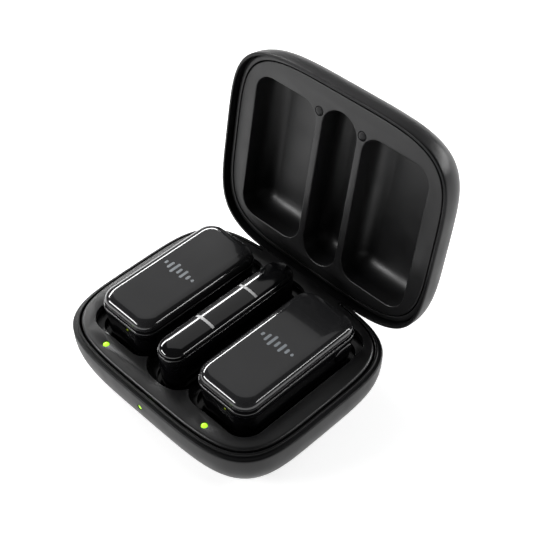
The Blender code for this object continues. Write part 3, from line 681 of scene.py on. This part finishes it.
def make_liner():
    """Liner: a plate with a cup for each pocket, and seats for the two buffers."""
    rings = []
    for inset, height in reversed(quarter((0.0, LINER_Z + 0.3), (0.3, LINER_Z), 4)):
        rings.append((squircle(inset, LINER_HALF), height))
    rings.append((squircle(0.0, LINER_HALF), LINER_Z + 1.0))
    liner = stack("pocket_liner", rings)
    for shape in POCKETS:
        combine(liner, pocket(*shape, 0.7), "UNION")
    for shape in POCKETS:
        combine(liner, pocket(*shape, 0.0), "DIFFERENCE")
    for side in (-1, 1):
        x, y = side * BUFFER_PLACE[0], BUFFER_PLACE[1]
        combine(liner, rod(f"seat_{side}", 1.45, (x, y, 17.5), (x, y, 20.0), 32), "DIFFERENCE")
    bake(liner)
    settle(on_lid(liner), LINER, "lid", "lid_liner")


def make_lid_fittings():
    """Frame round the liner's edge, and the two buffers."""
    outer = (CASE_HALF[0] - 1.15, CASE_HALF[1] - 1.15)
    inner = FRAME_INNER_HALF
    rings = [(squircle(0.0, outer), LINER_Z + 0.9), (squircle(0.0, outer), LINER_Z + 0.25)]
    rings += [(squircle(0.08, outer), LINER_Z + 0.08), (squircle(0.25, outer), LINER_Z)]
    rings += [(squircle(-0.25, inner), LINER_Z), (squircle(-0.08, inner), LINER_Z + 0.08)]
    rings += [(squircle(0.0, inner), LINER_Z + 0.25), (squircle(0.0, inner), LINER_Z + 0.9)]
    settle(on_lid(stack("liner_frame", rings, closed_band=True)), LINER, "lid", "lid_frame")
    for side, label in ((-1, "left"), (1, "right")):
        buffer = domed_disc(f"buffer_{label}", *BUFFER)
        turned(buffer, (side * BUFFER_PLACE[0], *BUFFER_PLACE[1:]), 180, "X")
        settle(on_lid(buffer), SHELL, "lid", f"lid_bumper_{label}")


# ---------------------------------------------------------------- transmitters


def tx_ring(half, x, inset, height, radius, follow):
    """Ring of a transmitter; follow is how much the corner tightens as the ring draws in."""
    corner = max(radius - follow * inset, 1.2)
    return rounded(half[0] - inset, half[1] - inset, corner, (x, BAY_Y)), height


def make_cap(name, x):
    """Domed top cover."""
    profile = [(2.4, 25.1), (1.6, 24.7), (1.0, TX_SEAM), (0.15, TX_SEAM), (0.03, TX_SEAM + 0.05)]
    profile += quarter((0.0, TX_SEAM + 0.9), (2.9, TX_TOP), 14)
    rings = []
    for inset, height in profile:
        rings.append(tx_ring(TX_CAP_HALF, x, inset, height, TX_CAP_CORNER, 0.6))
    cap = stack(f"{name}_cap_shell", rings, sharp=40)
    settle(cap, CAP, name, f"{name}_cap")


def make_body(name, x):
    """Lower housing with the ears of the clip's hinge."""
    high = TX_SEAM - 0.3
    profile = [(2.6, TX_BOTTOM), (1.75, 11.95), (1.2, 12.4), (0.85, 13.2), (0.72, 14.4)]
    profile += [(0.42, 20.4), (0.36, 20.7), (0.08, 21.1), (0.0, 21.4)]
    profile += quarter((0.0, high - 0.35), (0.35, high), 5)
    profile += [(1.2, high), (1.5, high - 0.2), (1.7, 20.0), (2.3, 13.1)]
    rings = []
    for inset, height in profile:
        rings.append(tx_ring(TX_BODY_HALF, x, inset, height, TX_BODY_CORNER, 0.5))
    body = stack(f"{name}_body_shell", rings)
    y, z = CLIP_PIN_Y, CLIP_PIN_Z
    for side in (-1, 1):
        low, high = sorted((x + side * 4.9, x + side * 6.4))
        combine(body, rod(f"ear_{side}", CLIP_BARREL, (low, y, z), (high, y, z), 32), "UNION")
        combine(body, box(f"leg_{side}", (low, y - 0.8, z), (high, y + 0.8, 12.5)), "UNION")
    combine(body, rod("bore", CLIP_BORE, (x - 6.1, y, z), (x + 6.1, y, z), 16), "DIFFERENCE")
    combine(body, oval("button_hole", 3.5, 2.5, x + 7.0, x + 12.0), "DIFFERENCE")
    start = (x + STATUS_X, BAY_Y - 24, STATUS_Z)
    end = (x + STATUS_X, BAY_Y - 18, STATUS_Z)
    combine(body, rod("light_hole", 0.5, start, end, 20), "DIFFERENCE")
    hole = box("pad_hole", (x - 3.3, BAY_Y - 19.4, 11.0), (x + 3.3, BAY_Y - 16.6, 14.0))
    combine(body, hole, "DIFFERENCE")
    bake(body, 30)
    settle(body, BLACK, name, f"{name}_body")


def oval(name, half_y, half_z, low_x, high_x, crown=0.0):
    """Oval plug along X at the side button's place, with an optional domed outer end."""
    profile = [(0.0, low_x), (0.0, high_x - crown)]
    if crown:
        profile += quarter((0.0, high_x - crown), (1.4, high_x), 7)[1:]
    rings = []
    for inset, x in profile:
        outline = rounded(half_y - inset, half_z - inset, half_z - inset, (0.0, 0.0), 8)
        rings.append(([(-z, y) for y, z in outline], x))
    return turned(stack(name, rings), (0.0, BUTTON_Y, BUTTON_Z), 90, "Y")


def make_mark(name, x):
    """Generic sound-level mark: a row of upright bars of different heights."""
    mesh_data = bmesh.new()
    for index, height in enumerate(MARK_HEIGHTS):
        bar_x = x + (index - (len(MARK_HEIGHTS) - 1) / 2) * MARK_PITCH
        outline = rounded(MARK_HALF_WIDTH, height / 2, MARK_HALF_WIDTH, (bar_x, BAY_Y), 6)
        loops = []
        for z in (TX_TOP + 0.002, TX_TOP + 0.02):
            loops.append([mesh_data.verts.new((px * MM, py * MM, z * MM)) for px, py in outline])
        for step in range(len(outline)):
            after = (step + 1) % len(outline)
            mesh_data.faces.new((loops[0][step], loops[0][after], loops[1][after], loops[1][step]))
        mesh_data.faces.new(reversed(loops[0]))
        mesh_data.faces.new(loops[1])
    settle(to_object(f"{name}_mark", mesh_data), PRINT, name)


def make_clip(name, x):
    """Clothing clip: a flat arm with grip ribs, and the barrel that turns on its pin."""
    centre = (x, BAY_Y + CLIP_PLACE)
    rings = [(rounded(6.2, 14.6, 2.4, centre), 8.2)]
    for inset, height in reversed(quarter((0.0, 8.6), (0.5, 8.22), 4)):
        rings.append((rounded(*(size - inset for size in CLIP_ARM), centre), height))
    rings.append((rounded(*CLIP_ARM, centre), CLIP_TOP - 0.15))
    rings.append((rounded(6.85, 15.25, 2.9, centre), CLIP_TOP))
    clip = stack(f"{name}_clip_arm", rings)
    y, z = CLIP_PIN_Y, CLIP_PIN_Z
    combine(clip, box("neck", (x - 4.5, y - 0.6, 8.8), (x + 4.5, y + 0.6, z)), "UNION")
    combine(clip, rod("barrel", CLIP_BARREL, (x - 4.5, y, z), (x + 4.5, y, z), 32), "UNION")
    combine(clip, rod("bore", CLIP_BORE, (x - 5.0, y, z), (x + 5.0, y, z), 16), "DIFFERENCE")
    for step in range(5):
        y = BAY_Y - 11.0 + step * RIB_PITCH
        rib = rod(f"rib_{step}", 0.22, (x - 5.0, y, CLIP_TOP), (x + 5.0, y, CLIP_TOP), 12)
        combine(clip, rib, "UNION")
    bake(clip)
    settle(clip, CLIP, f"{name}_clip", f"{name}_clip")


def make_transmitter(side, label):
    """One transmitter with its mark, clip, side button and status light."""
    name = f"transmitter_{label}"
    x = side * TX_X
    make_cap(name, x)
    make_body(name, x)
    make_mark(name, x)
    make_clip(name, x)
    button = oval(f"{name}_side_key", 3.25, 2.25, x + 8.3, edge(f"{name}_button", 1, 0), 0.35)
    settle(button, BLACK, f"{name}_button", f"{name}_button")
    lens = domed_disc(f"{name}_lens", *STATUS_LENS)
    turned(lens, (x + STATUS_X, BAY_Y - TX_BODY_HALF[1] + 1.9, STATUS_Z), 90, "X")
    settle(lens, LIME_DIM, name, f"{name}_status_light")


# ---------------------------------------------------------------- receiver


def rx_ring(half, inset, height):
    """Ring of the receiver, with fully round ends."""
    return rounded(half[0] - inset, half[1] - inset, half[0] - inset, (0.0, BAY_Y), 16), height


def make_receiver():
    """Housing with the plug's hole, and the domed cover with its two light bars."""
    high = RX_SEAM - 0.3
    profile = [(1.2, RX_BOTTOM), (0.75, 12.6), (0.45, 13.0), (0.35, 13.8), (0.05, 22.6)]
    profile += [(0.0, 23.2)]
    profile += quarter((0.0, high - 0.25), (0.25, high), 4)
    profile += [(1.1, high), (1.3, high - 0.2), (1.5, 13.8)]
    housing = stack("receiver_lower", [rx_ring(RX_HALF, inset, z) for inset, z in profile])
    hole = prism("plug_hole", rounded(1.58, 4.47, 1.55, (0.0, BAY_Y)), 11.5, 15.0)
    combine(housing, hole, "DIFFERENCE")
    bake(housing)
    settle(housing, BLACK, "receiver", "receiver_housing")
    profile = [(1.9, 25.75), (1.1, 25.6), (0.95, RX_SEAM), (0.08, RX_SEAM)]
    profile += quarter((0.0, RX_DOME_LOW), (4.1, RX_TOP), 14)
    rings = [rx_ring(RX_CAP_HALF, inset, z) for inset, z in profile]
    cover = stack("receiver_top", rings, sharp=45)
    for side, label in ((-1, "front"), (1, "back")):
        y = BAY_Y + side * BAR_Y
        slot = box(f"slot_{label}", (-3.24, y - 0.46, 26.0), (3.24, y + 0.46, 28.0))
        combine(cover, slot, "DIFFERENCE")
        make_light_bar(label, y)
    bake(cover, 45)
    settle(cover, BLACK, "receiver", "receiver_cover")


def make_light_bar(label, y):
    """Pale bar whose top follows the dome of the cover."""
    mesh_data = bmesh.new()
    half_width, half_length, steps = 0.43, 3.2, 28
    rise = RX_TOP - RX_DOME_LOW
    loops = []
    for across in (-half_width, -half_width * 0.6, half_width * 0.6, half_width):
        row = []
        for step in range(steps + 1):
            x = -half_length + 2 * half_length * step / steps
            share = max(0.0, 1 - (abs(x) / RX_CAP_HALF[0]) ** 2) ** 0.5
            drop = 0.03 if abs(across) == half_width else 0.0
            row.append((x, y + across, RX_DOME_LOW + rise * share + 0.015 - drop))
        loops.append(row)
    for across in (half_width, -half_width):
        loops.append([(x, y + across, 26.02) for x, _, _ in loops[0]])
    rows = [[mesh_data.verts.new(Vector(point) * MM) for point in row] for row in loops]
    for lower, upper in zip(rows, rows[1:] + rows[:1]):
        for index in range(steps):
            mesh_data.faces.new((lower[index], lower[index + 1], upper[index + 1], upper[index]))
    mesh_data.faces.new([row[0] for row in rows])
    mesh_data.faces.new([row[-1] for row in reversed(rows)])
    bar = to_object(f"receiver_bar_{label}", mesh_data)
    settle(bar, PALE, "receiver", f"receiver_light_bar_{label}")


# ---------------------------------------------------------------- carried-over CAD nodes

STEEL_WORDS = ("hinge_pin", "usb_port", "usb_plug", "screw", "clip_pin", "clip_spring", "capsule")
CARRIED = (
    (STEEL, STEEL_WORDS),
    (GOLD, ("charge_contacts", "charge_pads")),
    (NICKEL, ("magnet",)),
    (BOARD, ("board",)),
    (CELL, ("battery",)),
    (PIPE, ("receiver_socket",)),
)


def dress_carried_nodes():
    """Give each inner CAD node the material that its name asks for."""
    for name, node in NODES.items():
        for material, words in CARRIED:
            if any(word in name for word in words):
                node.data.materials.clear()
                node.data.materials.append(material)


# ---------------------------------------------------------------- studio

CAMERA_AZIMUTH = 45.85
CAMERA_ELEVATION = 44.96
CAMERA_ROLL = -0.89
CAMERA_PLACE = (0.1655, -0.1449, 0.2611)
CAMERA_LENS = 81.98
SENSOR_WIDTH = 36.0
LIGHTS_AIM = (0.0, 0.0, 0.02)
FLOOR_GLOW = 0.66
WORLD_LOW = (0.22, 0.22, 0.22, 1.0)
WORLD_HIGH = (0.045, 0.045, 0.045, 1.0)


def make_camera():
    """Camera at a turn, height and small roll, with no shift and no depth of field."""
    azimuth, elevation = math.radians(CAMERA_AZIMUTH), math.radians(CAMERA_ELEVATION)
    back = Vector(
        (
            math.sin(azimuth) * math.cos(elevation),
            -math.cos(azimuth) * math.cos(elevation),
            math.sin(elevation),
        )
    )
    level = Vector((math.cos(azimuth), math.sin(azimuth), 0.0))
    above = back.cross(level)
    roll = math.radians(CAMERA_ROLL)
    right = level * math.cos(roll) + above * math.sin(roll)
    data = bpy.data.cameras.new("camera")
    data.lens = CAMERA_LENS
    data.sensor_width = SENSOR_WIDTH
    data.clip_start = 0.01
    camera = bpy.data.objects.new("camera", data)
    turn = Matrix((right, back.cross(right), back)).transposed().to_4x4()
    camera.matrix_world = Matrix.Translation(CAMERA_PLACE) @ turn
    bpy.context.scene.collection.objects.link(camera)
    bpy.context.scene.camera = camera


def make_floor():
    """Pale floor just under the base, with a little light of its own."""
    mesh_data = bmesh.new()
    bmesh.ops.create_grid(mesh_data, x_segments=2, y_segments=2, size=3.0)
    floor = to_object("floor", mesh_data)
    floor.location.z = CAD_LOW.z - 0.0001
    finish = Finish("floor_white", (0.9, 0.9, 0.9), 0.9)
    finish.vary_colour(finish.noise(8, 2.0), (0.89, 0.89, 0.89), (0.91, 0.91, 0.91))
    finish.shader.inputs["Emission Color"].default_value = (1.0, 1.0, 1.0, 1.0)
    finish.shader.inputs["Emission Strength"].default_value = FLOOR_GLOW
    floor.data.materials.append(finish.material)


def softbox(name, place, width, height, power):
    """Rectangular lamp aimed at the case."""
    data = bpy.data.lights.new(name, "AREA")
    data.shape = "RECTANGLE"
    data.size, data.size_y = width, height
    data.energy = power
    lamp = bpy.data.objects.new(name, data)
    lamp.location = place
    lamp.rotation_mode = "QUATERNION"
    lamp.rotation_quaternion = (Vector(LIGHTS_AIM) - Vector(place)).to_track_quat("-Z", "Y")
    bpy.context.scene.collection.objects.link(lamp)


# Strip lights: place, width, height and power.
STRIPS = (
    ("left_strip", (-0.62, 0.2, 0.42), 0.75, 0.07, 4.0),
    ("front_left_box", (-0.46, -0.61, 0.42), 0.55, 0.14, 4.5),
    ("right_strip", (0.58, 0.42, 0.41), 0.5, 0.06, 1.3),
    ("back_box", (0.3, 0.85, 0.28), 0.6, 0.2, 5.0),
    ("dim_ceiling", (-0.45, 0.62, 0.75), 1.2, 1.2, 1.9),
)


def make_lights():
    """Dark room with long strip lights, so that polished parts carry narrow bright lines."""
    scene = bpy.context.scene
    scene.view_settings.view_transform = "Standard"
    world = bpy.data.worlds.new("studio")
    world.use_nodes = True
    nodes, links = world.node_tree.nodes, world.node_tree.links
    background = nodes["Background"]
    place = nodes.new("ShaderNodeTexCoord")
    split = nodes.new("ShaderNodeSeparateXYZ")
    ramp = nodes.new("ShaderNodeValToRGB")
    ramp.color_ramp.elements[0].position = 0.0
    ramp.color_ramp.elements[0].color = WORLD_LOW
    ramp.color_ramp.elements[1].position = 0.35
    ramp.color_ramp.elements[1].color = WORLD_HIGH
    links.new(place.outputs["Generated"], split.inputs["Vector"])
    links.new(split.outputs["Z"], ramp.inputs["Fac"])
    links.new(ramp.outputs["Color"], background.inputs["Color"])
    background.inputs["Strength"].default_value = 1.0
    scene.world = world
    for strip in STRIPS:
        softbox(*strip)


make_camera()
make_base_shell()
make_deck()
make_tray()
make_front_light()
make_lid_shell()
make_liner()
make_lid_fittings()
for side_sign, side_label in ((-1, "left"), (1, "right")):
    make_transmitter(side_sign, side_label)
make_receiver()
dress_carried_nodes()
make_floor()
make_lights()
